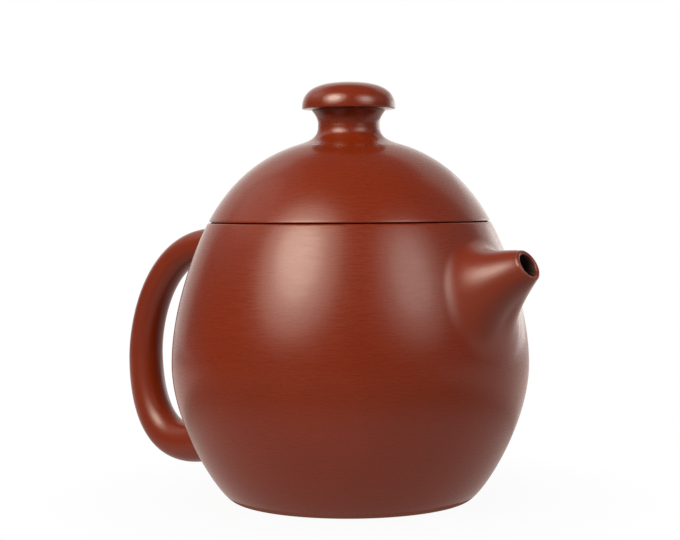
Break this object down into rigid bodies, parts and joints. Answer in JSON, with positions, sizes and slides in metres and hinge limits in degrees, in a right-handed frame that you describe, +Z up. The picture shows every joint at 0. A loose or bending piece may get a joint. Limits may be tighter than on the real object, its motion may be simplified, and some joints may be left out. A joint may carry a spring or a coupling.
{
  "type": "clay teapot",
  "caption": "Small red clay teapot with an egg-shaped body, a loose domed lid with a mushroom knob, a short conical spout, an ear-shaped handle and a pierced strainer.",
  "frame": {"origin": "on the axis of the pot, in the plane that its foot ring stands in", "axes": "+X points towards the spout, -X towards the handle, +Z up along the axis of the pot and the lid; the pot is symmetric about the XZ plane"},
  "size_m": [0.1263, 0.086, 0.0999],
  "materials": {
    "burnished_clay": "satin",
    "scraped_clay": "matte"
  },
  "bodies": {
    "pot": {"body_wall": "burnished_clay", "base_disc": "scraped_clay", "mouth_ring": "burnished_clay", "strainer": "scraped_clay", "spout": "burnished_clay", "handle": "burnished_clay"},
    "lid": {"lid_dome": "burnished_clay", "lid_flange": "scraped_clay", "knob_neck": "burnished_clay", "knob_cap": "burnished_clay"}
  },
  "joints": [
    {"name": "lid_lift", "type": "slide", "parent": "pot", "child": "lid", "axis": [0, 0, 1], "range_m": [0, 0.06]}
  ]
}
